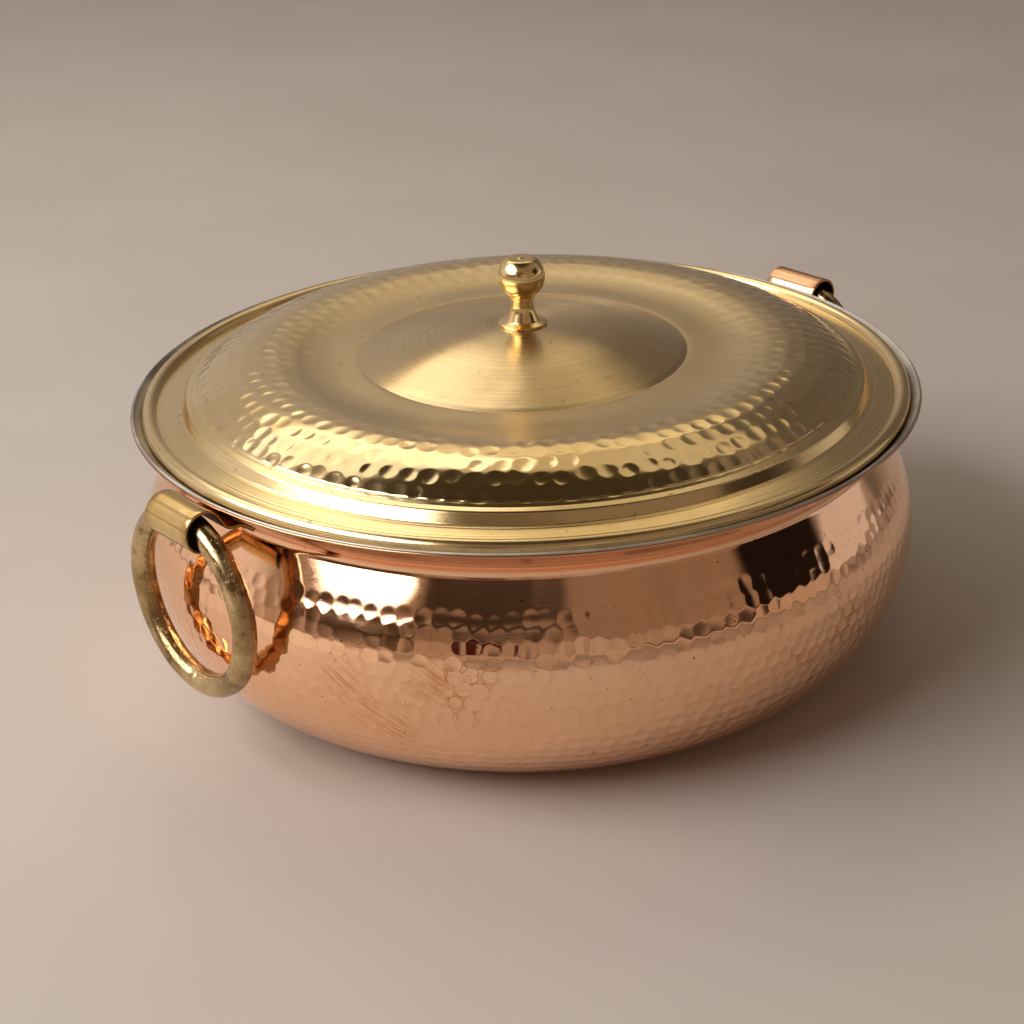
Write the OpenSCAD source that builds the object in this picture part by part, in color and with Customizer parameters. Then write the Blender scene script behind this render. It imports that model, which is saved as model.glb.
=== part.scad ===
// Lidded serving bowl: a tinned copper bowl, a spun brass lid with a turned knob,
// and two brass ring handles that swing in rolled straps riveted under the rim.
// Millimetres. The origin is the middle of the base, +Z is up, and the handles lie on X.

/* [Bowl] */
// Outer diameter of the rim
rim_d = 320; // [318:1:324]
// Height from the base to the top of the rim
bowl_h = 112; // [110:1:120]
// Outer diameter of the belly at its widest
belly_d = 317.6; // [312:0.2:320]
// Outer diameter of the neck under the rim
neck_d = 287; // [284:0.5:290]
// Radius of the round between the base and the belly
base_round = 53; // [40:1:54]
// Thickness of the copper sheet
copper_t = 1.4; // [1:0.1:1.6]
// Thickness of the tin layer inside
tin_t = 0.4; // [0.3:0.1:0.5]

/* [Lid] */
// Thickness of the lid's brass sheet
lid_t = 1.2; // [0.8:0.1:1.3]
// Outer diameter of the lid's rolled edge
lid_d = 310.6; // [308:0.1:311]
// Outer diameter of the hammered ring
hammered_d = 268.8; // [267:0.2:270]
// Diameter of the plain disc round the knob
disc_d = 132.8; // [120:0.2:140]
// Height of the knob's seat above the rim
seat_z = 23.9; // [21:0.1:26]

/* [Knob] */
// Diameter of the knob's ball
ball_d = 19; // [17:0.5:22]
// Diameter of the knob's foot
foot_d = 19.6; // [18:0.2:22]
// Diameter of the knob's stem
stem_d = 9; // [8:0.5:10]
// Height of the middle of the ball above the foot
ball_z = 20.1; // [19:0.1:24]
// Diameter of the screw that holds the knob
screw_d = 5; // [4:0.5:5]

/* [Handles] */
// Diameter of the brass rod in each ring
rod_d = 9.4; // [8:0.1:9.6]
// Diameter of each ring along the middle of its rod
ring_d = 67.4; // [64:0.2:72]
// Inner diameter of the rolled sleeve that holds a ring
sleeve_bore = 14; // [13.8:0.1:14.4]
// Thickness of the strap's brass sheet
strap_t = 1.2; // [1:0.1:1.3]
// Width of each strap, along its sleeve
strap_w = 27; // [22:0.5:28]
// How much further out the right sleeve stands than the left one
right_reach = 5; // [0:0.5:6]
// Diameter of a rivet's shank
rivet_d = 3; // [2.5:0.1:3.2]
// Diameter of a rivet's head
rivet_head_d = 5; // [4.6:0.2:5.2]

/* [Hidden] */

copper = [0.80, 0.50, 0.36];
tin = [0.72, 0.70, 0.67];
brass = [0.80, 0.66, 0.36];
old_brass = [0.70, 0.58, 0.34];
round_fn = 180;
small_fn = 60;
arc_step = 5;

// The shoulder leans in from upright, and the rim flares out from level.
shoulder_lean = 30;
flare_rise = 40;
shoulder_round = 40.7;
neck_round = 3;
wall_t = copper_t + tin_t;
flare_dir = [cos(flare_rise), sin(flare_rise)];
under_flare = [sin(flare_rise), -cos(flare_rise)];

// The rim's lower edge, and the sharp corners that the neck's and shoulder's rounds replace.
rim_edge = [rim_d / 2, bowl_h + wall_t * under_flare.y];
neck_x = neck_d / 2 - 0.7;
neck_corner = [neck_x, rim_edge.y - (rim_edge.x - neck_x) * tan(flare_rise)];
shoulder_z = neck_corner.y - (belly_d / 2 - neck_x) / tan(shoulder_lean);
bowl_line = [[0, 0, 0],
             [belly_d / 2, 0, base_round],
             [belly_d / 2, shoulder_z, shoulder_round],
             [neck_corner.x, neck_corner.y, neck_round],
             [rim_edge.x, rim_edge.y, 0]];

// The lid's rolled edge hangs lid_play clear of the flare's inner face.
lid_play = 0.3;
curl_r = 2.95;
curl_x = lid_d / 2 - curl_r;
curl_lift = wall_t + lid_play + curl_r;
curl_z = rim_edge.y + (curl_lift - (rim_edge.x - curl_x) * flare_dir.y) / flare_dir.x;
curl_open = [190, 245];

// The lid's top face, from the knob's seat out to the rolled edge.
seat_top = bowl_h + seat_z;
flange_z = bowl_h + 0.6;
flange_fall = 1.4;
lid_line = [[0, seat_top, 0],
            [30, seat_top, 120],
            [disc_d / 2, bowl_h + 12.8, 0],
            [83.2, bowl_h + 12.6, 60],
            [115, bowl_h + 20.5, 48],
            [hammered_d / 2, bowl_h + 5.4, 0],
            [137, bowl_h + 4.7, 1.4],
            [139.4, flange_z, 0.8],
            [curl_x - curl_r / 2, flange_z - flange_fall, 0]];

// The knob, above its foot.
foot_t = 1;
foot_slope = [3.2, 0.7];
stem_cove = 9;
stem_z = 7;
collar_r = stem_d / 2 + 0.4;
cap_angle = 50;
nib_r = 0.8;
nib_h = 0.5;
knob_bore_l = 12;
screw_l = 11;
hole_play = 0.4;
washer_d = 14;
washer_t = 1;
screw_head_d = 8.6;
screw_head_t = 2.6;
slot_w = 1.2;
slot_deep = 1.1;

// A strap lies under the root of the flare, rises beside the ring, and rolls over it.
// Its root and its sleeve are placed by how far they stand from the neck along the flare.
root_gap = 0.1;
root_from = 2.3;
root_to = 8.8;
sleeve_gap = 0.8;
sleeve_at = 22.5;
sleeve_r = sleeve_bore / 2 + strap_t;
roll_from = 150;
roll_slit = 70;
rise_l = 6;
rise_dir = [sin(roll_from), -cos(roll_from)];
root_bend = 4;
rise_bend = 4;
rivet_at = 4.7;
rivet_y = 8;
rivet_dome = 1.2;
rivet_in = wall_t + 0.1;
ring_r = ring_d / 2;
ring_sag = ring_r - sqrt(pow(ring_r, 2) - pow(strap_w / 2, 2));

// ---- Outlines: straight runs with rounded corners, each point [x, y, corner radius] ----

function unit(v) = v / norm(v);
function left_of(v) = [-v.y, v.x];
function flat(p) = [p.x, p.y];
function run_of(line, i) = unit(flat(line[i + 1]) - flat(line[i]));
function back(list) = [for (i = [len(list) - 1:-1:0]) list[i]];
function polar(centre, r, a) = centre + r * [cos(a), sin(a)];
function arc(centre, r, from, to) =
    let (steps = ceil(abs(to - from) / arc_step))
    [for (i = [0:steps]) polar(centre, r, from + (to - from) * i / steps)];

// The corner at p between the runs d0 and d1, rounded to radius r.
function corner(p, d0, d1, r) =
    r <= 0 ? [p] :
    let (turn = sign(cross(d0, d1)),
         angle = acos(d0 * d1),
         side = turn * left_of(d0),
         start = atan2(-side.y, -side.x))
    arc(p - d0 * r * tan(angle / 2) + side * r, r, start, start + turn * angle);

// The outline moved to its left by inset, with its rounds kept parallel.
function outline(line, inset = 0) =
    let (last = len(line) - 1)
    concat(
        [flat(line[0]) + inset * left_of(run_of(line, 0))],
        [for (i = [1:last - 1])
            let (d0 = run_of(line, i - 1),
                 d1 = run_of(line, i),
                 shift = inset * (left_of(d0) + left_of(d1)) / (1 + d0 * d1),
                 r = line[i].z > 0 ? line[i].z - inset * sign(cross(d0, d1)) : 0)
            each corner(flat(line[i]) + shift, d0, d1, r)],
        [flat(line[last]) + inset * left_of(run_of(line, last - 1))]);

// The sheet between two parallel copies of an outline.
module sheet(line, from, to) {
    polygon(concat(outline(line, from), back(outline(line, to))));
}

// The sector of a circle between two angles, large enough to cut radius r.
module sector(r, from, to) {
    polygon(concat([[0, 0]], arc([0, 0], r * 1.2, from, to)));
}

// ---- Bowl ----

module copper_bowl() {
    color(copper)
        difference() {
            rotate_extrude($fn = round_fn) sheet(bowl_line, 0, copper_t);
            at_rivets() rivet_hole();
        }
}

module tin_lining() {
    color(tin)
        difference() {
            rotate_extrude($fn = round_fn) sheet(bowl_line, copper_t, wall_t);
            at_rivets() rivet_solid();
        }
}

// ---- Handles, drawn on the +X side and turned half round for the left one ----

module on_side(side) {
    rotate([0, 0, side == "left" ? 180 : 0]) children();
}

// A point of the handle side's outline, by its place along the flare and its depth under it.
function under_rim(along, depth) = neck_corner + flare_dir * along + under_flare * depth;

// The middle of the sleeve, seen along it.
function hinge(side) =
    under_rim(sleeve_at + (side == "left" ? 0 : right_reach), sleeve_gap + sleeve_r);

module rolled_sleeve() {
    difference() {
        circle(sleeve_r, $fn = small_fn);
        circle(sleeve_bore / 2, $fn = small_fn);
        sector(sleeve_r, roll_from, roll_from + roll_slit);
    }
}

module handle_strap(side) {
    bore = hinge(side);
    root = under_rim(root_from, root_gap);
    bend = under_rim(root_to, root_gap);
    roll = polar(bore, sleeve_r, roll_from);
    rise = roll - rise_dir * rise_l;
    strip = [[root.x, root.y, 0],
             [bend.x, bend.y, root_bend],
             [rise.x, rise.y, rise_bend],
             [roll.x, roll.y, 0]];
    color(brass)
        difference() {
            on_side(side)
                rotate([90, 0, 0])
                    linear_extrude(strap_w, center = true) {
                        sheet(strip, -strap_t, 0);
                        translate(bore) rolled_sleeve();
                    }
            at_rivets() rivet_hole();
        }
}

module dome(d, h) {
    ball_r = (pow(d / 2, 2) + h * h) / (2 * h);
    edge = asin(d / 2 / ball_r);
    rotate_extrude($fn = small_fn)
        polygon(concat([[0, 0]], arc([0, h - ball_r], ball_r, 90 - edge, 90)));
}

// Places a thing on a rivet's axis, with z down from the flare's outer face.
module at_rivet(side, y) {
    foot = under_rim(rivet_at, 0);
    on_side(side)
        translate([foot.x, y, foot.y])
            rotate([0, 180 - flare_rise, 0]) children();
}

module at_rivets() {
    for (side = ["left", "right"], y = [-rivet_y, rivet_y]) at_rivet(side, y) children();
}

module rivet_hole() {
    translate([0, 0, -wall_t - 1])
        cylinder(wall_t + root_gap + strap_t + 2, d = rivet_d, $fn = small_fn);
}

// The shank, a domed head under the strap, and another pressed into the tin.
module rivet_solid() {
    translate([0, 0, -rivet_in])
        cylinder(rivet_in + root_gap + strap_t, d = rivet_d, $fn = small_fn);
    translate([0, 0, root_gap + strap_t]) dome(rivet_head_d, rivet_dome);
    translate([0, 0, -rivet_in]) rotate([180, 0, 0]) dome(rivet_head_d, rivet_dome);
}

module rivet(side, y) {
    color(copper) at_rivet(side, y) rivet_solid();
}

// A ring hanging in its sleeve. The sleeve's middle line splits the rod's rise in it.
module ring_handle(side) {
    color(old_brass)
        on_side(side)
            translate([hinge(side).x, 0, hinge(side).y + ring_sag / 2 - ring_r])
                rotate([0, 90, 0])
                    rotate_extrude($fn = round_fn)
                        translate([ring_r, 0]) circle(d = rod_d, $fn = small_fn);
}

// ---- Lid ----

module lid_shell() {
    color(brass)
        difference() {
            rotate_extrude($fn = round_fn) {
                sheet(lid_line, -lid_t, 0);
                translate([curl_x, curl_z])
                    difference() {
                        circle(curl_r, $fn = small_fn);
                        circle(curl_r - lid_t, $fn = small_fn);
                        sector(curl_r, curl_open[0], curl_open[1]);
                    }
            }
            translate([0, 0, bowl_h]) cylinder(seat_z + 1, d = screw_d + hole_play, $fn = small_fn);
        }
}

module lid_knob() {
    foot_r = foot_d / 2;
    cap_z = ball_z + ball_d / 2 * sin(cap_angle) + 0.2;
    stem = [[0, 0, 0],
            [foot_r, 0, 0],
            [foot_r, foot_t, 0],
            [foot_r - foot_slope.x, foot_t + foot_slope.y, 0],
            [stem_d / 2, stem_z, stem_cove],
            [stem_d / 2, ball_z - ball_d / 2, 0]];
    ball = arc([0, ball_z], ball_d / 2, -acos(collar_r / (ball_d / 2)), cap_angle);
    nib = [[nib_r, cap_z], [nib_r, cap_z + nib_h], [0, cap_z + nib_h]];
    color(brass)
        translate([0, 0, seat_top])
            difference() {
                rotate_extrude($fn = small_fn) polygon(concat(outline(stem), ball, nib));
                translate([0, 0, -1]) cylinder(knob_bore_l + 1, d = screw_d, $fn = small_fn);
            }
}

module knob_washer() {
    color(brass)
        translate([0, 0, seat_top - lid_t - washer_t])
            difference() {
                cylinder(washer_t, d = washer_d, $fn = small_fn);
                translate([0, 0, -1]) cylinder(washer_t + 2, d = screw_d + hole_play, $fn = small_fn);
            }
}

// A slotted screw, up through the washer and the lid into the knob.
module knob_screw() {
    color(old_brass)
        translate([0, 0, seat_top - lid_t - washer_t])
            difference() {
                union() {
                    cylinder(lid_t + washer_t + screw_l, d = screw_d, $fn = small_fn);
                    rotate([180, 0, 0]) dome(screw_head_d, screw_head_t);
                }
                translate([0, 0, -screw_head_t])
                    cube([screw_head_d, slot_w, 2 * slot_deep], center = true);
            }
}

copper_bowl();
tin_lining();
handle_strap("left");  // handle_strap_left
handle_strap("right");  // handle_strap_right
rivet("left", rivet_y);  // rivet_left_front
rivet("left", -rivet_y);  // rivet_left_rear
rivet("right", -rivet_y);  // rivet_right_front
rivet("right", rivet_y);  // rivet_right_rear
ring_handle("left");  // ring_handle_left
ring_handle("right");  // ring_handle_right
lid_shell();
lid_knob();
knob_washer();
knob_screw();
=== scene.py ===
"""A hammered copper serving bowl, tinned inside, with a spun brass lid and two brass ring handles.

The copper, the tin and the lid are revolved sheets whose hammer marks are real geometry. The straps
are swept from their bent centre lines, and the rings are cast rods with worn, pitted skins.
Lengths are millimetres times MM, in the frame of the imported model."""

import math

import bpy
import numpy as np
from mathutils import Matrix, Vector, noise


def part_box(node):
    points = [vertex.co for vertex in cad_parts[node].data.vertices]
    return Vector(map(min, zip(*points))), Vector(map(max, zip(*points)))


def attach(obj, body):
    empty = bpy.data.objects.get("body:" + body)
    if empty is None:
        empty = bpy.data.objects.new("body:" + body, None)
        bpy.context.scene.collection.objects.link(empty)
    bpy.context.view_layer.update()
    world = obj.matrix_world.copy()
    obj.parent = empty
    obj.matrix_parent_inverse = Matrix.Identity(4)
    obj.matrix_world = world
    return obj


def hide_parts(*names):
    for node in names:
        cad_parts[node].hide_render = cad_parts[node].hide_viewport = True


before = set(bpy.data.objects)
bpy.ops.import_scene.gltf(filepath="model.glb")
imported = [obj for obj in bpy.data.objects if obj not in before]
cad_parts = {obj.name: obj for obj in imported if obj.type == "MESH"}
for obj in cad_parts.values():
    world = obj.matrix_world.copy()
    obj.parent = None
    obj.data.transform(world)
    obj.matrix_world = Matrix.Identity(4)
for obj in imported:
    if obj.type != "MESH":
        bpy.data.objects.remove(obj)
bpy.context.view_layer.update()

MM = 0.001
TURN = 2 * math.pi

# ---- Sizes, from the frame where a node's box gives them ----

rim_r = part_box("copper_bowl")[1].x
belly_r = 158.8 * MM
base_round = 53 * MM
shoulder_round = 40.7 * MM
neck_round = 3 * MM
copper_t = 1.4 * MM
wall_t = 1.8 * MM
lip_l = 1.4 * MM        # length of flare that has the rim's fine rounding
tin_from = 0.8 * MM     # where the tin begins across the rim's cut edge
shoulder_lean = math.radians(30)
flare_rise = math.radians(40)
neck_x = 142.8 * MM
bowl_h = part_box("tin_lining")[1].z
seat_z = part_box("lid_knob")[0].z
lid_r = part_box("lid_shell")[1].x
lid_t = 1.2 * MM
curl_r = 2.95 * MM
disc_r = 66.4 * MM
hammered_r = 134.4 * MM
flange_z = bowl_h + 0.6 * MM
flange_fall = 1.4 * MM
strap_t = 1.2 * MM
strap_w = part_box("handle_strap_left")[1].y * 2
sleeve_r = 8.2 * MM
sleeve_gap = 0.8 * MM
sleeve_at = {"left": 22.5 * MM, "right": 27.5 * MM}     # places along the flare from the neck
root_gap = 0.1 * MM
root_from, root_to = 2.3 * MM, 8.8 * MM
roll_from, roll_slit = math.radians(150), math.radians(70)
rise_l = 6 * MM
rivet_at = 4.7 * MM
rivet_y = 8 * MM
rivet_r = 2.5 * MM
rivet_dome = 1.2 * MM
rod_r = 4.7 * MM
ring_r = 33.7 * MM


# ---- Outlines: straight runs with rounded corners, each point [x, y, corner radius] ----

def vec(*numbers):
    return np.array(numbers, float)


def unit(v):
    return v / np.linalg.norm(v)


def left_of(v):
    return vec(-v[1], v[0])


def cross(a, b):
    return a[0] * b[1] - a[1] * b[0]


def polar(centre, r, angle):
    return centre + r * vec(math.cos(angle), math.sin(angle))


def arc(centre, r, start, end, pitch):
    """Points on an arc, about pitch apart and at least six."""
    steps = max(5, math.ceil(abs(end - start) * r / pitch))
    return [polar(centre, r, start + (end - start) * i / steps) for i in range(steps + 1)]


def corner(p, d0, d1, r, pitch):
    """The corner at p between the runs d0 and d1, rounded to radius r."""
    if r <= 0:
        return [p]
    turn = math.copysign(1, cross(d0, d1))
    angle = math.acos(float(np.clip(d0 @ d1, -1, 1)))
    side = turn * left_of(d0)
    start = math.atan2(-side[1], -side[0])
    centre = p - d0 * r * math.tan(angle / 2) + side * r
    return arc(centre, r, start, start + turn * angle, pitch)


def outline(line, inset=0.0, pitch=0.8 * MM):
    """The line moved to its left by inset, with its rounds kept parallel."""
    spots = [vec(*p[:2]) for p in line]
    runs = [unit(b - a) for a, b in zip(spots, spots[1:])]
    made = [spots[0] + inset * left_of(runs[0])]
    for p, radius, d0, d1 in zip(spots[1:-1], [q[2] for q in line[1:-1]], runs, runs[1:]):
        shift = inset * (left_of(d0) + left_of(d1)) / (1 + d0 @ d1)
        r = radius - inset * math.copysign(1, cross(d0, d1)) if radius > 0 else 0
        made += corner(p + shift, d0, d1, r, pitch)
    made.append(spots[-1] + inset * left_of(runs[-1]))
    return made


def walk(points, pitch):
    """The points with every longer step cut into steps of at most pitch, which may be a function of a point."""
    made = [points[0]]
    for a, b in zip(points, points[1:]):
        step = pitch((a + b) / 2) if callable(pitch) else pitch
        cuts = max(1, math.ceil(np.linalg.norm(b - a) / step))
        made += [a + (b - a) * i / cuts for i in range(1, cuts + 1)]
    return made


# ---- Meshes ----

def add_mesh(name, verts, faces, material):
    """A smooth mesh object. faces is a list of arrays of corners, one array for each face size."""
    mesh = bpy.data.meshes.new(name)
    sizes = np.concatenate([np.full(len(f), f.shape[1]) for f in faces])
    corners = np.concatenate([f.ravel() for f in faces]).astype(np.int32)
    mesh.vertices.add(len(verts))
    mesh.vertices.foreach_set("co", np.asarray(verts, np.float32).ravel())
    mesh.loops.add(len(corners))
    mesh.loops.foreach_set("vertex_index", corners)
    mesh.polygons.add(len(sizes))
    mesh.polygons.foreach_set("loop_start", (np.cumsum(sizes) - sizes).astype(np.int32))
    mesh.polygons.foreach_set("loop_total", sizes.astype(np.int32))
    mesh.polygons.foreach_set("use_smooth", np.ones(len(sizes), bool))
    mesh.update(calc_edges=True)
    mesh.validate()
    mesh.materials.append(material)
    piece = bpy.data.objects.new(name, mesh)
    bpy.context.scene.collection.objects.link(piece)
    return piece


def grid_faces(rows, columns, loop):
    """Quads between neighbouring rows of points. Each row is closed, and in a loop the last row
    joins the first."""
    index = np.arange(rows * columns).reshape(rows, columns)
    after = np.roll(index, -1, axis=0)
    if not loop:
        index, after = index[:-1], after[:-1]
    quads = np.stack([index, np.roll(index, -1, 1), np.roll(after, -1, 1), after], axis=-1)
    return quads.reshape(-1, 4)


def volume(verts, faces):
    """The signed volume that closed faces enclose: positive if they face outwards."""
    total = 0.0
    for f in faces:
        for k in range(1, f.shape[1] - 1):
            a, b, c = verts[f[:, 0]], verts[f[:, k]], verts[f[:, k + 1]]
            total += float(np.einsum("ij,ij->", a, np.cross(b, c))) / 6
    return total


def add_grid(name, points, material, loop=False, capped=False):
    """A mesh from points[row, column, xyz]. Each row is a closed ring, and capped closes both ends."""
    rows, columns = points.shape[:2]
    verts = points.reshape(-1, 3)
    faces = [grid_faces(rows, columns, loop)]
    if capped:
        first = np.arange(columns)[::-1]
        last = np.arange(columns) + (rows - 1) * columns
        faces.append(np.stack([first, last]))
    if volume(verts, faces) < 0:
        faces = [f[:, ::-1] for f in faces]
    return add_mesh(name, verts, faces, material)


def revolve(name, path, columns, material, loop=False, push=None):
    """A path of [radius, z] points turned about Z. The solid lies to the left of the path.
    push[row, column] moves each point out along the surface's normal."""
    path = np.array(path)
    if loop:
        along = np.roll(path, -1, 0) - np.roll(path, 1, 0)
    else:
        along = np.gradient(path, axis=0)
    along /= np.linalg.norm(along, axis=1)[:, None] + 1e-12
    out = np.stack([along[:, 1], -along[:, 0]], axis=1)
    angle = np.arange(columns) * TURN / columns
    push = np.zeros((len(path), columns)) if push is None else push
    r = path[:, :1] + push * out[:, :1]
    z = path[:, 1:] + push * out[:, 1:]
    points = np.stack([r * np.cos(angle), r * np.sin(angle), z + 0 * angle], axis=-1)
    return add_grid(name, points, material, loop=loop, capped=not loop)


def sweep(name, spine, normals, section, material):
    """Sections of [across, out] points, one at each point of a spine in the XZ plane.
    across is along Y and out along the spine's normal."""
    x = spine[:, :1] + section[..., 1] * normals[:, :1]
    z = spine[:, 1:] + section[..., 1] * normals[:, 1:]
    return add_grid(name, np.stack([x, section[..., 0], z], axis=-1), material, capped=True)


# ---- Hammering ----

def lengths(path):
    """How far along the path each of its points lies."""
    path = np.array(path)
    return np.concatenate([[0], np.cumsum(np.linalg.norm(np.diff(path, axis=0), axis=1))])


def hammer_marks(path, columns, rows, mark, rng):
    """How deep each point of a revolved path lies in its deepest round hammer mark.
    rows are the lengths along the path at which the rings of marks stand. mark gives the marks'
    radius, pitch, depth, stray from their places, and how much radius and depth vary."""
    run, radius = lengths(path), np.array(path)[:, 0]
    angle = np.arange(columns) * TURN / columns
    deep = np.zeros((len(run), columns))
    for k, row in enumerate(rows):
        reached = np.abs(run - row) < 1.5 * mark["radius"]
        row_r = float(np.interp(row, run, radius))
        count = max(6, round(TURN * row_r / mark["pitch"]))
        step = TURN / count
        start = step * (k % 2 / 2 + rng.uniform(-0.12, 0.12))
        stray = rng.uniform(-1, 1, (2, count)) * mark["stray"]
        size = mark["radius"] * rng.uniform(1 - mark["vary"], 1 + mark["vary"], count)
        blow = mark["depth"] * rng.uniform(1 - 2.5 * mark["vary"], 1 + 2.5 * mark["vary"], count)
        slot = np.round((angle - start) / step).astype(int)
        for neighbour in (-1, 0, 1):
            n = slot + neighbour
            across = (start + n * step - angle) * row_r + stray[0][n % count]
            up = run[reached][:, None] - row - stray[1][n % count]
            cap = blow[n % count] * (1 - (up**2 + across**2) / size[n % count] ** 2)
            deep[reached] = np.maximum(deep[reached], cap)
    return deep


def swell(path, columns, height, rng, waves=((2, 1), (3, 2), (5, 2), (8, 3), (13, 5))):
    """Slow unevenness of a hand-raised sheet: a few waves round and along the path."""
    run = lengths(path)[:, None] / 100 / MM
    angle = np.arange(columns) * TURN / columns
    total = np.zeros((len(path), columns))
    for around, along in waves:
        shift = rng.uniform(0, TURN, 2)
        total += np.sin(around * angle + shift[0]) * np.cos(along * run + shift[1]) / len(waves)
    return height * total


def ease(x, start, end):
    """0 before start, 1 after end, and smooth between."""
    t = np.clip((np.asarray(x) - start) / (end - start), 0, 1)
    return t * t * (3 - 2 * t)


def groove(radius, centre, width):
    """1 at the middle of a round-bottomed groove, 0 outside it."""
    return np.clip(1 - ((radius - centre) / (width / 2)) ** 2, 0, 1)


# ---- Materials ----

def new_material(name, **constants):
    """A material, its node tree and its shader, with constant values set on the shader's own sockets."""
    material = bpy.data.materials.new(name)
    material.use_nodes = True
    tree = material.node_tree
    shader = tree.nodes["Principled BSDF"]
    for key, value in constants.items():
        shader.inputs[key.replace("_", " ")].default_value = value
    return material, tree, shader


def add(tree, kind, inputs=None, out=0, **settings):
    """A node of that kind, its inputs set or linked, and its output socket."""
    node = tree.nodes.new("ShaderNode" + kind)
    for key, value in settings.items():
        setattr(node, key, value)
    for key, value in (inputs or {}).items():
        if isinstance(value, bpy.types.NodeSocket):
            tree.links.new(value, node.inputs[key])
        else:
            node.inputs[key].default_value = value
    return node.outputs[out]


def math_node(tree, operation, a, b=0.0):
    return add(tree, "Math", {0: a, 1: b}, operation=operation)


def times(tree, *factors):
    """The product of two or more sockets or numbers."""
    product = factors[0]
    for factor in factors[1:]:
        product = math_node(tree, "MULTIPLY", product, factor)
    return product


def ramp(tree, value, low, high, start=0.0, end=1.0):
    """value's stretch from low to high, smoothly mapped to start to end."""
    limits = {0: value, 1: low, 2: high, 3: start, 4: end}
    return add(tree, "MapRange", limits, interpolation_type="SMOOTHSTEP")


def mix(tree, factor, a, b):
    """A colour from a to b."""
    return add(tree, "Mix", {0: factor, 6: a, 7: b}, out=2, data_type="RGBA")


def cloud(tree, place, scale, detail, rough=0.55):
    """Noise from about 0.25 to 0.75, scale lumps to the metre."""
    return add(tree, "TexNoise", {"Vector": place, "Scale": scale, "Detail": detail, "Roughness": rough})


def place_of(tree):
    return add(tree, "TexCoord", out=3)


def turned_place(tree, place):
    """A point's radius and height with a little of its direction, so that noise on it makes rings,
    then the radius and the height."""
    flat = add(tree, "VectorMath", {0: place, 1: (1, 1, 0)}, operation="MULTIPLY")
    radius = add(tree, "VectorMath", {0: flat}, out=1, operation="LENGTH")
    height = add(tree, "SeparateXYZ", {0: place}, out=2)
    little = add(tree, "VectorMath", {0: place, "Scale": 0.004}, operation="SCALE")
    rings = add(tree, "CombineXYZ", {0: radius, 1: height})
    return add(tree, "VectorMath", {0: rings, 1: little}, operation="ADD"), radius, height


def bump(tree, height, strength, distance):
    return add(tree, "Bump", {"Height": height, "Strength": strength, "Distance": distance})


def tinted(rgb):
    return (*rgb, 1.0)


def near(tree, place, centre, inner, outer):
    """1 within inner of a point on the piece, 0 beyond outer."""
    centre = [c * MM for c in centre]
    away = add(tree, "VectorMath", {0: place, 1: centre}, out=1, operation="DISTANCE")
    return ramp(tree, away, outer * MM, inner * MM)


def stretched(tree, place, scale):
    """A place scaled by its own amount on each axis."""
    return add(tree, "VectorMath", {0: place, 1: scale}, operation="MULTIPLY")


def mark_outlines(tree):
    """1 just inside the rim of a hammer mark, from the mesh's own value of how deep a point lies in one."""
    mark = add(tree, "Attribute", out=2, attribute_name="mark")
    return times(tree, ramp(tree, mark, 0.0, 0.1), ramp(tree, mark, 0.42, 0.12))


def rubbed_stains(tree, place, belt):
    """Brown smudges: level streaks in the belt, and slanting scuffs at four places low on one side."""
    streaks = ramp(tree, cloud(tree, stretched(tree, place, (70, 70, 900)), 1.0, 5.0, 0.7), 0.50, 0.66)
    slanting = add(tree, "VectorRotate", {"Vector": place, "Angle": -0.7}, rotation_type="X_AXIS")
    slanting = stretched(tree, slanting, (60, 60, 1100))
    scuffs = ramp(tree, cloud(tree, slanting, 1.0, 5.0, 0.75), 0.45, 0.58)
    spots = near(tree, place, (-146, -62, 54), 3, 16)
    for centre in ((-141, -71, 45), (-135, -79, 37), (-128, -92, 60)):
        spots = math_node(tree, "MAXIMUM", spots, near(tree, place, centre, 2, 13))
    return math_node(tree, "MAXIMUM", times(tree, streaks, belt), times(tree, scuffs, spots))


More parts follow.
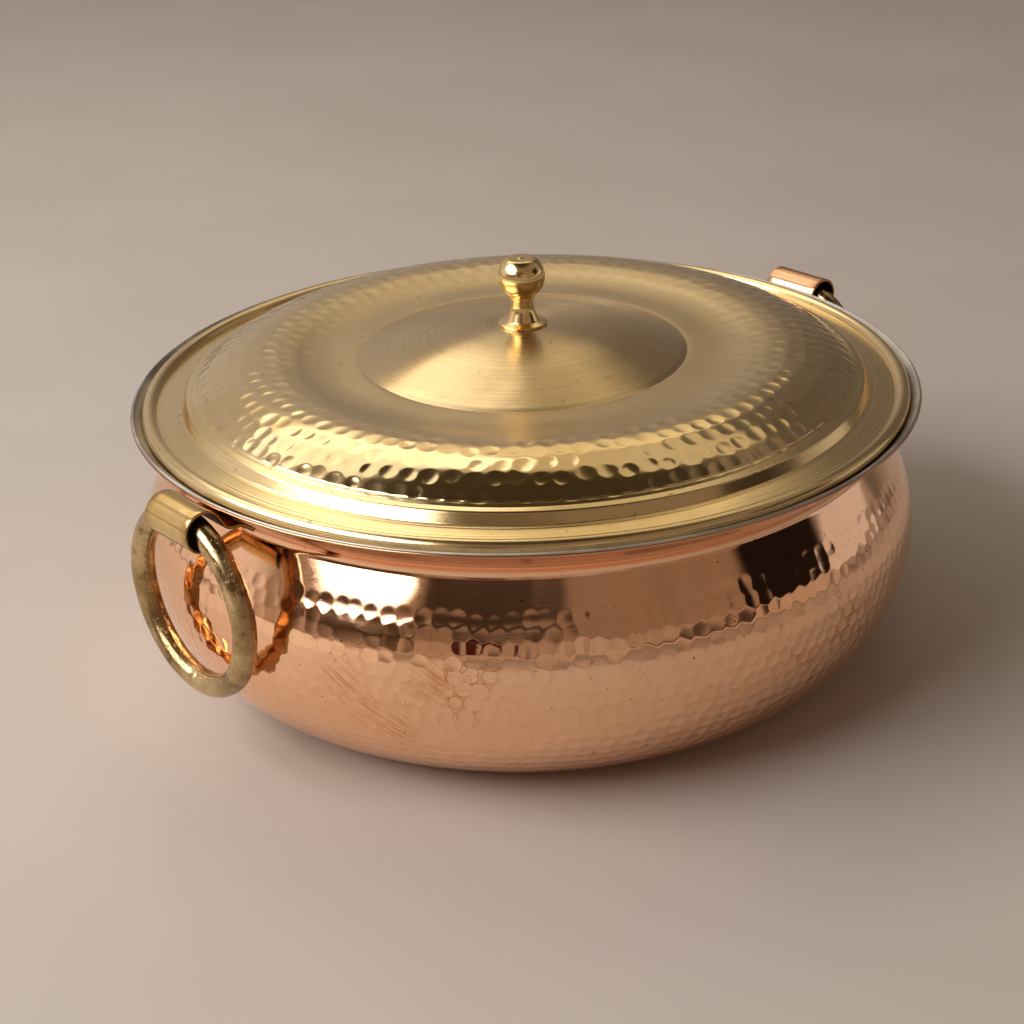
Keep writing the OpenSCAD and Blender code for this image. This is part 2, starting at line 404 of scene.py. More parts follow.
def make_copper():
    """Polished copper: rims of tarnish round the hammer marks, scratched brown smudges low on one side,
    a few specks, and turned lines above the shoulder."""
    material, tree, shader = new_material("copper_polished", Metallic=1.0)
    place = place_of(tree)
    rings, _, height = turned_place(tree, place)
    turned = ramp(tree, height, 96.5 * MM, 99.0 * MM)
    flared = times(tree, turned, ramp(tree, height, 100.6 * MM, 101.2 * MM))
    lines = cloud(tree, rings, 900, 4.0, 0.7)
    patches = ramp(tree, cloud(tree, place, 22, 5.0, 0.62), 0.46, 0.64)
    belt = times(tree, ramp(tree, height, 38 * MM, 48 * MM), ramp(tree, height, 72 * MM, 62 * MM), patches)
    ringed = times(tree, mark_outlines(tree), math_node(tree, "ADD", 0.13, belt))
    rubbed = rubbed_stains(tree, place, belt)
    specks = ramp(tree, cloud(tree, place, 620, 1.0, 0.3), 0.765, 0.80)
    clean = mix(tree, ramp(tree, cloud(tree, place, 9, 3.0), 0.35, 0.65),
                tinted((0.96, 0.575, 0.345)), tinted((0.97, 0.61, 0.40)))
    stained = mix(tree, math_node(tree, "MAXIMUM", times(tree, rubbed, 0.75), ringed),
                  clean, tinted((0.66, 0.29, 0.11)))
    lined = mix(tree, times(tree, flared, ramp(tree, lines, 0.40, 0.62, 0.35, 1.0)),
                stained, tinted((0.47, 0.20, 0.10)))
    colour = mix(tree, times(tree, specks, 0.8), lined, tinted((0.16, 0.08, 0.05)))
    tree.links.new(colour, shader.inputs["Base Color"])
    rough = ramp(tree, cloud(tree, place, 30, 5.0, 0.6), 0.3, 0.7, 0.035, 0.085)
    rough = math_node(tree, "ADD", rough, times(tree, flared, 0.10))
    rough = math_node(tree, "ADD", rough, times(tree, math_node(tree, "MAXIMUM", rubbed, ringed), 0.16))
    tree.links.new(rough, shader.inputs["Roughness"])
    scratches = cloud(tree, stretched(tree, place, (90, 90, 2600)), 1.0, 4.0, 0.75)
    fine = math_node(tree, "ADD", times(tree, scratches, 0.25), times(tree, lines, turned))
    tree.links.new(bump(tree, fine, 0.35, 0.06 * MM), shader.inputs["Normal"])
    return material


def make_tin():
    """Hot-wiped tin: soft grey clouds, wiped streaks and darker pores."""
    material, tree, shader = new_material("tin_wiped", Metallic=1.0)
    place = place_of(tree)
    clouds = cloud(tree, place, 26, 6.0, 0.6)
    grey = mix(tree, ramp(tree, clouds, 0.36, 0.66), tinted((0.40, 0.37, 0.34)), tinted((0.60, 0.57, 0.53)))
    pores = ramp(tree, cloud(tree, place, 520, 2.0, 0.5), 0.66, 0.74)
    colour = mix(tree, times(tree, pores, 0.5), grey, tinted((0.22, 0.20, 0.19)))
    tree.links.new(colour, shader.inputs["Base Color"])
    tree.links.new(ramp(tree, clouds, 0.3, 0.7, 0.34, 0.52), shader.inputs["Roughness"])
    wiping = {"Vector": place, "Scale": 60.0, "Detail": 6.0, "Distortion": 1.6}
    swirl = add(tree, "TexNoise", wiping)
    tree.links.new(bump(tree, swirl, 0.35, 0.25 * MM), shader.inputs["Normal"])
    return material


def make_brass(name, base, deep, rough, lines_amount, anisotropic=0.0, matt_inside=0.0):
    """Spun brass: turned lines, faint clouding and a scatter of small stains. matt_inside makes it
    rougher and greyer towards the middle."""
    material, tree, shader = new_material(name, Metallic=1.0, Anisotropic=anisotropic,
                                          Anisotropic_Rotation=0.25)
    place = place_of(tree)
    rings, radius, _ = turned_place(tree, place)
    lines = cloud(tree, rings, 1700, 4.0, 0.7)
    clouds = cloud(tree, place, 17, 5.0, 0.6)
    stains = ramp(tree, cloud(tree, place, 330, 2.0, 0.4), 0.70, 0.76)
    body = mix(tree, ramp(tree, clouds, 0.34, 0.68), tinted(base), tinted(deep))
    banded = mix(tree, times(tree, ramp(tree, lines, 0.42, 0.62), lines_amount), body,
                 tinted([0.72 * c for c in base]))
    matt = ramp(tree, radius, 116 * MM, 92 * MM, 0.0, matt_inside)
    greyed = mix(tree, times(tree, matt, 2.5), banded, tinted((0.52, 0.41, 0.26)))
    colour = mix(tree, times(tree, stains, 0.45), greyed, tinted((0.24, 0.16, 0.07)))
    tree.links.new(colour, shader.inputs["Base Color"])
    shine = ramp(tree, cloud(tree, place, 40, 4.0), 0.3, 0.7, 0.85 * rough, 1.2 * rough)
    tree.links.new(math_node(tree, "ADD", shine, matt), shader.inputs["Roughness"])
    if anisotropic:
        tangent = add(tree, "Tangent", direction_type="RADIAL", axis="Z")
        tree.links.new(tangent, shader.inputs["Tangent"])
    tree.links.new(bump(tree, lines, 0.5 * lines_amount, 0.05 * MM), shader.inputs["Normal"])
    return material


def make_ring_brass():
    """Cast brass rubbed dull: brown in its pits and stains, and lighter and darker in random clouds."""
    material, tree, shader = new_material("brass_cast", Metallic=1.0)
    place = place_of(tree)
    clouds = cloud(tree, place, 45, 6.0, 0.65)
    pits = ramp(tree, cloud(tree, place, 700, 3.0, 0.6), 0.60, 0.72)
    grain = cloud(tree, place, 900, 4.0, 0.7)
    body = mix(tree, ramp(tree, clouds, 0.36, 0.66), tinted((0.67, 0.50, 0.26)), tinted((0.36, 0.24, 0.11)))
    stains = ramp(tree, cloud(tree, place, 95, 5.0, 0.7), 0.52, 0.66)
    dirty = math_node(tree, "MAXIMUM", times(tree, stains, 0.7), times(tree, pits, 0.8))
    colour = mix(tree, dirty, body, tinted((0.13, 0.08, 0.035)))
    tree.links.new(colour, shader.inputs["Base Color"])
    tree.links.new(ramp(tree, clouds, 0.3, 0.7, 0.12, 0.25), shader.inputs["Roughness"])
    skin = math_node(tree, "SUBTRACT", times(tree, grain, 0.5), pits)
    tree.links.new(bump(tree, skin, 0.7, 0.2 * MM), shader.inputs["Normal"])
    return material


def make_strap_brass():
    """Rolled brass sheet: drawn lines along the strip, soiled ends, and a redder strip on the right handle."""
    material, tree, shader = new_material("brass_strip", Metallic=1.0)
    place = place_of(tree)
    lines = cloud(tree, stretched(tree, place, (1400, 40, 1400)), 1.0, 4.0, 0.7)
    clouds = cloud(tree, place, 60, 5.0, 0.6)
    stains = ramp(tree, clouds, 0.56, 0.72)
    body = mix(tree, ramp(tree, clouds, 0.3, 0.6), tinted((0.78, 0.57, 0.25)), tinted((0.68, 0.47, 0.19)))
    to_the_right = add(tree, "SeparateXYZ", {0: place})
    redder = mix(tree, ramp(tree, to_the_right, 0, 60 * MM), body, tinted((0.74, 0.42, 0.24)))
    across = math_node(tree, "ABSOLUTE", add(tree, "SeparateXYZ", {0: place}, out=1))
    ends = ramp(tree, across, 8 * MM, 14 * MM)
    soiled = times(tree, math_node(tree, "MAXIMUM", stains, ends), 0.6)
    colour = mix(tree, soiled, redder, tinted((0.36, 0.20, 0.07)))
    tree.links.new(colour, shader.inputs["Base Color"])
    tree.links.new(ramp(tree, clouds, 0.3, 0.7, 0.10, 0.20), shader.inputs["Roughness"])
    tree.links.new(bump(tree, lines, 0.25, 0.04 * MM), shader.inputs["Normal"])
    return material


copper = make_copper()
tin = make_tin()
brass_disc = make_brass("brass_brushed", (0.79, 0.60, 0.34), (0.73, 0.55, 0.30),
                        rough=0.25, lines_amount=0.55, anisotropic=0.8)
brass_lid = make_brass("brass_hammered", (0.87, 0.67, 0.38), (0.82, 0.61, 0.32),
                       rough=0.12, lines_amount=0.15, matt_inside=0.24)
brass_edge = make_brass("brass_turned", (0.90, 0.70, 0.39), (0.86, 0.65, 0.33),
                        rough=0.20, lines_amount=0.25, anisotropic=0.7)
brass_knob = make_brass("brass_polished", (0.92, 0.70, 0.35), (0.88, 0.64, 0.28),
                        rough=0.15, lines_amount=0.35)
brass_ring = make_ring_brass()
brass_strap = make_strap_brass()
# Painted shade: a near-black brown for the strap's bore side and underside, standing in for the deep shade
# inside the sleeve and under the strap
shade_brass, _, shade_shader = new_material("brass_painted_shade", Metallic=0.6, Roughness=0.55)
shade_shader.inputs["Base Color"].default_value = tinted((0.055, 0.03, 0.014))


# ---- The bowl's walls ----

flare = vec(math.cos(flare_rise), math.sin(flare_rise))
under_flare = vec(math.sin(flare_rise), -math.cos(flare_rise))
rim_edge = vec(rim_r, bowl_h + wall_t * under_flare[1])
neck_corner = vec(neck_x, rim_edge[1] - (rim_edge[0] - neck_x) * math.tan(flare_rise))
shoulder_z = neck_corner[1] - (belly_r - neck_x) / math.tan(shoulder_lean)
base_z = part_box("copper_bowl")[0].z
axis_r = 0.2 * MM


def bowl_line(end):
    """The bowl's outer face from the axis to a point on the flare."""
    return [[axis_r, base_z, 0],
            [belly_r, base_z, base_round],
            [belly_r, shoulder_z, shoulder_round],
            [*neck_corner, neck_round],
            [*end, 0]]


bowl_columns = 1400
near_edge = rim_edge - flare * lip_l
flat_r = belly_r - base_round


def across_wall(p, depth):
    """A point on the flare's outer face moved into the wall."""
    return p + left_of(flare) * depth


def wall_pitch(fine):
    """Fine steps on the wall, coarser ones on the flat base."""
    return lambda p: fine if p[0] > flat_r - 12 * MM or p[1] > 20 * MM else 2 * fine


def lip_ripple(rng, steps):
    """The rim's cut edge, dressed by hand: it rises and falls by a tenth of a millimetre."""
    waves = ((7, 0), (16, 0), (29, 0), (53, 0))
    ripple = swell([rim_edge] * steps, bowl_columns, 0.10 * MM, rng, waves)
    return ripple * np.sin(np.linspace(0.3, math.pi - 0.3, steps))[:, None]


def make_bowl():
    """The copper: hammered from the foot to the shoulder, with grooves turned in the flare."""
    rng = np.random.default_rng(11)
    # Each groove in mm: its place along the flare, depth and width.
    flare_grooves = ((7.6, 0.16, 0.8), (20.2, 0.05, 0.8))
    fine_from = neck_corner[1] + 3 * MM
    outer = walk(outline(bowl_line(near_edge)),
                 lambda p: 0.25 * MM if p[1] > fine_from else wall_pitch(0.75 * MM)(p))
    lip = outline([[*near_edge, 0],
                   [*rim_edge, 0.45 * MM],
                   [*across_wall(rim_edge, tin_from), 0]], pitch=0.2 * MM)[1:]
    inner = walk(outline(bowl_line(near_edge), copper_t, 5 * MM), 30 * MM)[::-1]
    run = lengths(outer)
    neck_run = run[np.argmin([np.hypot(*(p - neck_corner)) for p in outer])]
    lowest = flat_r + 6 * MM
    below_neck, row_step = 16.5 * MM, 5.1 * MM
    mark = {"radius": 3.4 * MM, "pitch": 6.3 * MM, "depth": 0.17 * MM, "stray": 0.85 * MM, "vary": 0.13}
    rows = np.arange(neck_run - below_neck, lowest, -row_step)
    cut = hammer_marks(outer, bowl_columns, rows, mark, rng)
    strength = 1.5 - 0.8 * ease(run, neck_run - 60 * MM, neck_run - 16 * MM)[:, None]
    fade = ease(run, lowest - 4 * MM, lowest + 10 * MM)[:, None]
    still = 1 - ease(run, neck_run - 14 * MM, neck_run)[:, None]
    uneven = swell(outer, bowl_columns, 0.16 * MM, rng) * still
    along_flare = np.array([(p - neck_corner) @ flare for p in outer])
    dug = sum(deep * MM * groove(along_flare, at * MM, width * MM) for at, deep, width in flare_grooves)
    dug = dug * (np.array(outer)[:, 1] > fine_from)
    push = np.zeros((len(outer) + len(lip) + len(inner), bowl_columns))
    push[:len(outer)] = (uneven - cut * strength) * fade - dug[:, None]
    push[len(outer):len(outer) + len(lip)] = lip_ripple(rng, len(lip))
    piece = revolve("bowl_copper", outer + lip + inner, bowl_columns, copper, push=push)
    shade = np.zeros(push.shape, np.float32)
    shade[:len(outer)] = cut / mark["depth"] * fade
    piece.data.attributes.new("mark", "FLOAT", "POINT").data.foreach_set("value", shade.ravel())
    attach(piece, "bowl")
    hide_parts("copper_bowl")


def make_lining():
    """The tin inside, up to the rim's cut edge, with the backs of the hammer marks raised in it."""
    rng = np.random.default_rng(12)
    hidden = walk(outline(bowl_line(near_edge), copper_t, 5 * MM), 30 * MM)
    lip = outline([[*across_wall(near_edge, copper_t), 0],
                   [*across_wall(rim_edge, tin_from), 0],
                   [*across_wall(rim_edge, wall_t), 0.5 * MM],
                   [*across_wall(near_edge, wall_t), 0]], pitch=0.2 * MM)[1:]
    inner = walk(outline(bowl_line(near_edge), wall_t), wall_pitch(1.3 * MM))[-2::-1]
    run = lengths(inner)
    neck_run = run[np.argmin([np.hypot(*(p - neck_corner)) for p in inner])]
    below_neck, row_step = 12.5 * MM, 5.1 * MM
    mark = {"radius": 4.2 * MM, "pitch": 6.3 * MM, "depth": 0.16 * MM, "stray": 0.7 * MM, "vary": 0.14}
    rows = np.arange(neck_run + below_neck, run[-1] - 6 * MM, row_step)
    raised = hammer_marks(inner, bowl_columns, rows, mark, rng)
    push = np.zeros((len(hidden) + len(lip) + len(inner), bowl_columns))
    push[-len(inner):] = raised * ease(run, neck_run + 8 * MM, neck_run + 14 * MM)[:, None]
    piece = revolve("bowl_tin", hidden + lip + inner, bowl_columns, tin, push=push)
    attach(piece, "bowl")
    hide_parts("tin_lining")


# ---- The lid ----

curl_c = vec(lid_r - curl_r, rim_edge[1])
curl_c[1] += (wall_t + 0.3 * MM + curl_r - (rim_edge[0] - curl_c[0]) * flare[1]) / flare[0]
lid_line = [[30 * MM, seat_z, 120 * MM],
            [disc_r, bowl_h + 12.8 * MM, 0.9 * MM],
            [83.2 * MM, bowl_h + 12.6 * MM, 60 * MM],
            [115 * MM, bowl_h + 20.5 * MM, 48 * MM],
            [hammered_r, bowl_h + 5.4 * MM, 0.5 * MM],
            [137 * MM, bowl_h + 4.7 * MM, 1.4 * MM],
            [139.4 * MM, flange_z, 0.8 * MM]]


def make_lid():
    """The lid's sheet: a brushed disc, a hammered crown and a turned flange with a hollow rolled edge."""
    rng = np.random.default_rng(21)
    columns = 960
    hole_r = 2.7 * MM
    # Each groove in mm: its radius on the lid, depth and width.
    flange_grooves = ((132.9, 0.14, 0.9), (140.9, 0.05, 0.9), (145.6, 0.04, 0.8), (147.2, 0.04, 0.8))
    flange_low = flange_z - flange_fall
    bead_turn = math.asin((flange_low - curl_c[1]) / curl_r)
    inner_turn = math.asin((flange_low - lid_t - curl_c[1]) / (curl_r - lid_t))
    bead_foot = polar(curl_c, curl_r, math.pi - bead_turn)
    open_end = math.radians(245 - 360)
    top_line = [[hole_r, seat_z, 0], *lid_line, [*bead_foot, 0]]
    top = outline(top_line, pitch=0.6 * MM)
    turned_r, crown_r = 132 * MM, 82 * MM
    fine = walk(top[::-1], lambda p: (0.33 if p[0] > turned_r else 0.8 if p[0] > crown_r else 1.4) * MM)
    under = walk(outline(top_line, -lid_t, 2 * MM)[:-1], 1.6 * MM)
    bead_in = arc(curl_c, curl_r - lid_t, math.pi - inner_turn, open_end, 0.5 * MM)
    edge_c = polar(curl_c, curl_r - lid_t / 2, open_end)
    bead_end = arc(edge_c, lid_t / 2, open_end - math.pi, open_end, 0.3 * MM)[1:-1]
    bead_out = arc(curl_c, curl_r, open_end, math.pi - bead_turn, 0.5 * MM)
    path = under + bead_in + bead_end + bead_out + fine[1:]
    first = len(path) - len(fine)
    run, radius = lengths(fine), np.array(fine)[:, 0]
    mark = {"radius": 3.45 * MM, "pitch": 7.9 * MM, "depth": 0.19 * MM, "stray": 1.1 * MM, "vary": 0.16}
    crease_run = float(np.interp(-hammered_r, -radius, run))
    rows = np.arange(crease_run + 4.6 * MM, crease_run + 56 * MM, 7.4 * MM)
    cut = hammer_marks(fine, columns, rows, mark, rng)
    inwards = run - crease_run
    cut *= (1.3 - 0.3 * ease(inwards, 8 * MM, 20 * MM) - 0.7 * ease(inwards, 26 * MM, 52 * MM))[:, None]
    cut += 0.22 * MM * groove(radius, disc_r, 1.3 * MM)[:, None]
    for at, deep, width in flange_grooves:
        cut += deep * MM * groove(radius, at * MM, width * MM)[:, None]
    push = np.zeros((len(path), columns))
    push[first:] = swell(fine, columns, 0.12 * MM, rng) * ease(radius, 20 * MM, 60 * MM)[:, None] - cut
    rows_below = lengths(top)[-1] - rows - 6 * MM
    raised = hammer_marks(under, columns, rows_below, dict(mark, radius=4.4 * MM), rng)
    push[:len(under)] = raised * 0.6
    piece = revolve("lid_brass", path, columns, brass_lid, loop=True, push=push)
    piece.data.materials.append(brass_disc)
    piece.data.materials.append(brass_edge)
    rows_r = np.array(path)[:, 0]
    is_top = np.arange(len(path)) >= first
    kind = np.where(is_top & (rows_r < disc_r), 1, np.where(rows_r > hammered_r - 1.6 * MM, 2, 0))
    piece.data.polygons.foreach_set("material_index", np.repeat(kind, columns).astype(np.int32))
    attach(piece, "lid")
    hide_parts("lid_shell")


def make_knob():
    """The turned knob: a thin foot, a waisted stem, a collar and a ball with a nib on its cap."""
    foot_r, foot_t, stem_r = 9.8 * MM, 1 * MM, 4.5 * MM
    ball_r, ball_z, cap = 9.5 * MM, 20.1 * MM, math.radians(50)
    cap_z = ball_z + ball_r * math.sin(cap) + 0.2 * MM
    collar = 4.9 * MM
    bottom = [[2.5 * MM, 0, 0],
              [foot_r, 0, 0.25 * MM],
              [foot_r, foot_t, 0.35 * MM],
              [foot_r - 3.2 * MM, foot_t + 0.7 * MM, 0.4 * MM],
              [stem_r, 7 * MM, 9 * MM],
              [stem_r, ball_z - ball_r + 0.15 * MM, 0.3 * MM],
              [collar + 0.35 * MM, ball_z - ball_r + 0.55 * MM, 0.3 * MM],
              [collar, ball_z - ball_r + 1.15 * MM, 0]]
    ball = arc(vec(0, ball_z), ball_r, -math.acos(collar / ball_r), cap, 0.5 * MM)
    nib = outline([[*polar(vec(0, ball_z), ball_r, cap), 0],
                   [4.9 * MM, cap_z, 0.7 * MM],
                   [1.3 * MM, cap_z, 0.3 * MM],
                   [0.8 * MM, cap_z + 0.5 * MM, 0.3 * MM],
                   [0.1 * MM, cap_z + 0.5 * MM, 0]], pitch=0.3 * MM)
    bore = [vec(0.1 * MM, 12 * MM), vec(2.5 * MM, 12 * MM)]
    path = bore + walk(outline(bottom, pitch=0.35 * MM) + ball[1:] + nib[1:], 0.8 * MM)
    piece = revolve("lid_knob_brass", [p + vec(0, seat_z) for p in path], 144, brass_knob)
    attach(piece, "lid")
    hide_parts("lid_knob")


# ---- The handles ----

def side_turn(side):
    """The turn that takes a piece made on the right to its own side."""
    return Matrix.Rotation(math.pi if side == "left" else 0, 4, "Z")


def under_rim(along, depth):
    """A point by its place along the flare from the neck and its depth under it."""
    return neck_corner + flare * along + under_flare * depth


def hinge(side):
    """The middle of the sleeve's bore."""
    return under_rim(sleeve_at[side], sleeve_gap + sleeve_r)


def rounded_bar(width, thick, r):
    """A rectangle of [across, out] points with rounded corners, anticlockwise."""
    corner_steps = 4
    made = []
    for turn, (sx, sy) in enumerate(((1, 1), (-1, 1), (-1, -1), (1, -1))):
        centre = vec(sx * (width / 2 - r), sy * (thick / 2 - r))
        made += [polar(centre, r, math.pi / 2 * (turn + i / corner_steps)) for i in range(corner_steps + 1)]
    return np.array(made)


def make_strap(side):
    """A root riveted under the flare, a rise beside the ring, and a roll about it."""
    bore = hinge(side)
    roll = arc(bore, sleeve_r, roll_from, roll_from + roll_slit - TURN, 0.4 * MM)
    rise = roll[0] - vec(math.sin(roll_from), -math.cos(roll_from)) * rise_l
    line = [[*under_rim(root_from, root_gap), 0],
            [*under_rim(root_to, root_gap), 4 * MM],
            [*rise, 4 * MM],
            [*roll[0], 0]]
    face = np.array(walk(outline(line, pitch=0.5 * MM), 1.2 * MM) + roll[1:])
    along = np.gradient(face, axis=0)
    along /= np.linalg.norm(along, axis=1)[:, None]
    normals = np.stack([-along[:, 1], along[:, 0]], axis=1)
    spine = face - normals * strap_t / 2
    section = rounded_bar(strap_w, strap_t, 0.38 * MM)
    across = np.array(walk([*section, section[0]], 2.5 * MM)[:-1])
    hug = 1 - ease(lengths(face), 3 * MM, 9 * MM)
    drop = math.sin(flare_rise) * hug[:, None] * across[:, 0] ** 2 / (2 * neck_x)
    shaped = np.stack([across[:, 0] + 0 * drop, across[:, 1] + drop], axis=-1)
    piece = sweep(f"strap_{side}", spine, normals, shaped, brass_strap)
    piece.data.materials.append(shade_brass)
    # The faces on the bore side and the underside of the strap take the painted shade
    shaded_faces = np.tile(across[:, 1] < -0.3 * strap_t, len(spine) - 1)
    shaded_faces = np.concatenate([shaded_faces, [False, False]])
    piece.data.polygons.foreach_set("material_index", shaded_faces.astype(np.int32))
    piece.data.transform(side_turn(side))
    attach(piece, "bowl")
    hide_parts(f"handle_strap_{side}")


def make_ring(side):
    """A cast ring, uneven by a few tenths of a millimetre and pitted."""
    low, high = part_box(f"ring_handle_{side}")
    centre = (low + high) / 2
    around, about = 320, 48
    points = np.zeros((around, about, 3))
    shift = Vector((3.1, 7.7, 1.3)) * (1 if side == "left" else 2)
    for i in range(around):
        a = TURN * i / around
        out = Vector((0, math.cos(a), math.sin(a)))
        for j in range(about):
            b = TURN * j / about
            skin = out * math.cos(b) + Vector((math.sin(b), 0, 0))
            spot = out * ring_r + skin * rod_r
            lumps = 0.22 * noise.noise(spot * 55 + shift) + 0.10 * noise.noise(spot * 210 + shift)
            pit = min(0.0, noise.noise(spot * 520 + shift) + 0.42) * 0.5
            points[i, j] = out * ring_r + skin * (rod_r + (lumps + pit - 0.12) * MM)
    piece = add_grid(f"ring_{side}", points, brass_ring, loop=True)
    piece.data.transform(Matrix.Translation(centre))
    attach(piece, f"ring_{side}")
    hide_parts(f"ring_handle_{side}")


def make_rivet(node, side, y):
    """A rivet set by hand: a slightly flattened dome with a soft edge under the strap, and one inside."""
    ball_r = (rivet_r**2 + rivet_dome**2) / (2 * rivet_dome)
    edge = math.pi / 2 - math.asin(rivet_r / ball_r)

    def head(sign, at):
        dome = arc(vec(0, at + sign * (rivet_dome - ball_r)), ball_r,
                   sign * (edge + 0.06), sign * math.radians(89), 0.3 * MM)
        return [vec(rivet_r - 0.1 * MM, at), vec(rivet_r - 0.02 * MM, at + sign * 0.08 * MM)] + dome

    shank = [vec(1.5 * MM, -wall_t), vec(1.5 * MM, strap_t)]
    path = head(-1, -wall_t - 0.1 * MM)[::-1] + shank + head(1, root_gap + strap_t)
    piece = revolve(node.replace("rivet", "rivet_head"), path, 40, copper)
    foot = under_rim(rivet_at, 0)
    place = Matrix.Translation((foot[0], y, foot[1])) @ Matrix.Rotation(math.pi - flare_rise, 4, "Y")
    piece.data.transform(side_turn(side) @ place)
    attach(piece, "bowl")
    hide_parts(node)


make_bowl()
make_lining()
make_lid()
make_knob()
for side in ("left", "right"):
    make_strap(side)
    make_ring(side)
for node, side, y in (("rivet_left_front", "left", rivet_y), ("rivet_left_rear", "left", -rivet_y),
                      ("rivet_right_front", "right", -rivet_y), ("rivet_right_rear", "right", rivet_y)):
    make_rivet(node, side, y)
for node in ("knob_washer", "knob_screw"):
    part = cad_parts[node]
    part.data.materials.clear()
    part.data.materials.append(brass_knob)


# ---- Camera, floor and studio light ----

VIEW_AZIMUTH = math.radians(-40.4)
VIEW_PITCH = math.radians(25.52)
VIEW_ROLL = math.radians(2.05)
EYE = Vector((-0.4998, -0.5763, 0.4157))
to_right = Vector((math.cos(VIEW_AZIMUTH), math.sin(VIEW_AZIMUTH), 0))
ahead = Vector((-math.sin(VIEW_AZIMUTH), math.cos(VIEW_AZIMUTH), 0))
forward = ahead * math.cos(VIEW_PITCH) - Vector((0, 0, math.sin(VIEW_PITCH)))


def make_camera():
    upward = to_right.cross(forward)
    turn = Matrix((to_right, upward, -forward)).transposed()
    camera = bpy.data.objects.new("camera", bpy.data.cameras.new("camera"))
    camera.data.lens = 70.31
    camera.data.sensor_width = 36
    camera.matrix_world = Matrix.Translation(EYE) @ turn.to_4x4() @ Matrix.Rotation(-VIEW_ROLL, 4, "Z")
    bpy.context.scene.collection.objects.link(camera)
    bpy.context.scene.camera = camera


def towards(azimuth, elevation):
    """A direction in the studio: azimuth from straight ahead of the camera, to the right, and elevation up."""
    a, e = math.radians(azimuth), math.radians(elevation)
    return (to_right * math.sin(a) + ahead * math.cos(a)) * math.cos(e) + Vector((0, 0, math.sin(e)))


def add_softbox(name, azimuth, elevation, width, height, brightness, colour=(1, 0.97, 0.93),
                shape="RECTANGLE"):
    """A soft light aimed at the bowl. brightness is its radiance."""
    distance, aim_z = 1.7, 0.08
    lamp = bpy.data.lights.new(name, "AREA")
    lamp.shape = shape
    lamp.size, lamp.size_y = width, height
    lamp.energy = brightness * math.pi * width * height * (math.pi / 4 if shape == "ELLIPSE" else 1)
    lamp.color = colour
    direction = towards(azimuth, elevation)
    light = bpy.data.objects.new(name, lamp)
    light.location = Vector((0, 0, aim_z)) + direction * distance
    light.rotation_mode = "QUATERNION"
    light.rotation_quaternion = direction.to_track_quat("Z", "Y")
    bpy.context.scene.collection.objects.link(light)


def make_floor():
    material, tree, shader = new_material("floor_pale", Roughness=0.62)
    place = place_of(tree)
    soft = mix(tree, ramp(tree, cloud(tree, place, 5, 4.0), 0.3, 0.7),
               tinted((0.505, 0.448, 0.408)), tinted((0.535, 0.478, 0.438)))
    tree.links.new(soft, shader.inputs["Base Color"])
    half = 4.0
    corners = np.array([[x * half, y * half, base_z] for x, y in ((-1, -1), (1, -1), (1, 1), (-1, 1))])
    floor = add_mesh("floor", corners, [np.array([[0, 1, 2, 3]])], material)


def window(tree, angle, elevation, a0, a1, e0, e1, edge):
    """1 inside a patch of the sky, 0 outside, with soft edges in degrees."""
    soft = edge / 2
    return times(tree,
                 ramp(tree, angle, a0 - soft, a0 + soft), ramp(tree, angle, a1 + soft, a1 - soft),
                 ramp(tree, elevation, e0 - soft, e0 + soft), ramp(tree, elevation, e1 + soft, e1 - soft))


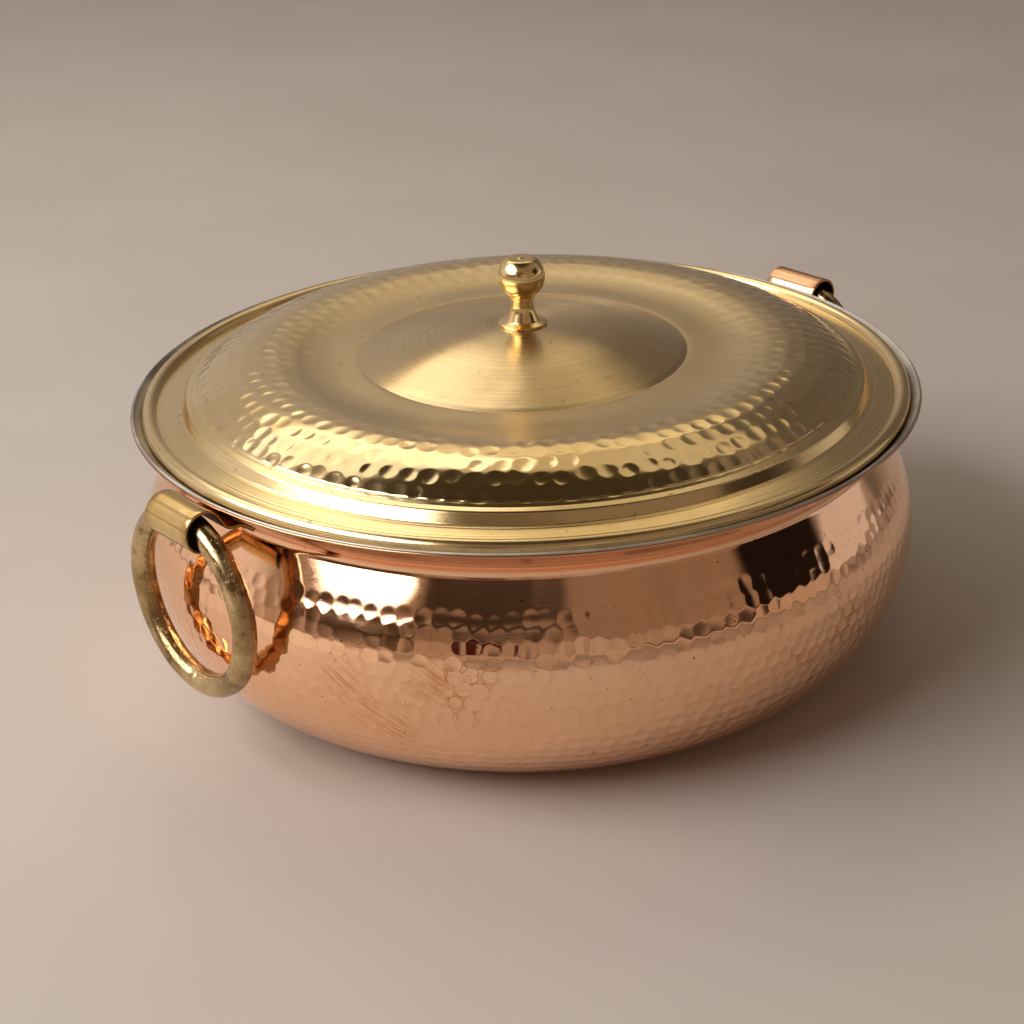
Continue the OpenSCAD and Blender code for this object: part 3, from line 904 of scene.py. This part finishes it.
def make_studio():
    """A grey wall ahead, a dim room behind the camera, a dark doorway on the right and a dark ceiling."""
    world = bpy.data.worlds.new("studio")
    bpy.context.scene.world = world
    world.use_nodes = True
    tree = world.node_tree
    direction = add(tree, "TexCoord", out=0)
    up = add(tree, "SeparateXYZ", {0: direction}, out=2)
    side = add(tree, "VectorMath", {0: direction, 1: to_right}, out=1, operation="DOT_PRODUCT")
    front = add(tree, "VectorMath", {0: direction, 1: ahead}, out=1, operation="DOT_PRODUCT")
    degrees = 180 / math.pi
    azimuth = times(tree, math_node(tree, "ARCTAN2", side, front), degrees)
    elevation = times(tree, math_node(tree, "ARCSINE", up), degrees)
    room = mix(tree, ramp(tree, elevation, 2.0, 26.0),
               tinted((0.42, 0.315, 0.24)), tinted((0.24, 0.165, 0.115)))
    room = mix(tree, ramp(tree, elevation, 33.0, 40.0), room, tinted((0.24, 0.185, 0.145)))
    room = mix(tree, ramp(tree, elevation, 46.0, 66.0), room, tinted((0.05, 0.035, 0.02)))
    wall = mix(tree, ramp(tree, azimuth, -30.0, 30.0),
               tinted((0.50, 0.44, 0.40)), tinted((0.13, 0.105, 0.088)))
    wall = mix(tree, ramp(tree, azimuth, -80.0, -40.0), tinted((0.78, 0.69, 0.63)), wall)
    # Each patch in degrees: azimuth from and to, elevation from and to, soft edge; then its colour.
    patches = ((-95, 62, -90, 46, 14, wall),
               (-20, 52, 46, 68, 4, tinted((0.62, 0.52, 0.36))),
               (-32, 16, 33, 46, 5, tinted((1.00, 0.83, 0.55))),
               (58, 85, -90, 32, 4, tinted((0.29, 0.235, 0.20))),
               (85, 115, 10, 30, 4, tinted((0.012, 0.008, 0.006))),
               (114, 152, 5.5, 9.5, 2.5, tinted((0.05, 0.03, 0.02))),
               (-145, -112, 8, 25, 8, tinted((0.06, 0.035, 0.02))),
               (-200, -146, 27, 34, 4, tinted((0.05, 0.032, 0.022))),
               (170, 200, 27.5, 33, 4, tinted((0.06, 0.04, 0.03))),
               (-172, -160, 12, 24, 3, tinted((0.05, 0.012, 0.008))),
               (-200, -177, 6, 13, 3, tinted((0.07, 0.05, 0.045))),
               (160, 168, 8, 22, 3, tinted((0.42, 0.33, 0.27))))
    colour = room
    for a0, a1, e0, e1, edge, shade in patches:
        colour = mix(tree, window(tree, azimuth, elevation, a0, a1, e0, e1, edge), colour, shade)
    mottle = ramp(tree, cloud(tree, direction, 7, 3.0), 0.3, 0.7, 0.93, 1.07)
    colour = add(tree, "VectorMath", {0: colour, "Scale": mottle}, operation="SCALE")
    background = tree.nodes["Background"]
    tree.links.new(colour, background.inputs["Color"])


make_camera()
make_floor()
make_studio()
add_softbox("key", -112, 39.5, 1.90, 1.10, 6.1, shape="ELLIPSE")
add_softbox("overhead", -36, 52, 1.20, 0.80, 1.25, (1, 0.95, 0.86))
add_softbox("fill", 76, 7.5, 0.85, 0.26, 0.29)
bpy.context.scene.view_settings.view_transform = "Standard"
